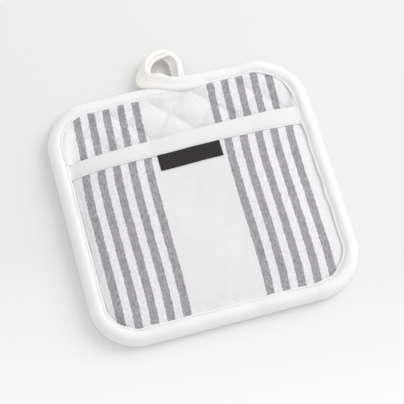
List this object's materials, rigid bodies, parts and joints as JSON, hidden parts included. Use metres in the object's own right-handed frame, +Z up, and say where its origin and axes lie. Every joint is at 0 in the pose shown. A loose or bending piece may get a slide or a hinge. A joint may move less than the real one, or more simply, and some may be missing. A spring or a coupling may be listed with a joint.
{
  "type": "pot holder",
  "caption": "square padded pot holder lying face up: quilted striped cotton pad, arched hand pocket with a taped mouth, rounded white edge binding and a curled hanging loop",
  "frame": {"origin": "on the flat underside, in the middle of the pad", "axes": "+Z up out of the striped face, +X across the face with the label's long side, +Y towards the edge with the hanging loop"},
  "size_m": [0.215, 0.2392, 0.0181],
  "materials": {
    "striped_cotton": "plain-woven white cotton with warm grey stripes, matt",
    "white_cotton_tape": "soft white cotton twill tape, matt",
    "black_woven_tape": "dense black woven label tape, slight sheen, no lettering"
  },
  "bodies": {
    "root": {"quilted_pad": "striped_cotton", "pocket_panel": "striped_cotton", "pocket_tape": "white_cotton_tape", "black_label": "black_woven_tape", "edge_binding": "white_cotton_tape", "hanging_loop": "white_cotton_tape"}
  },
  "joints": []
}
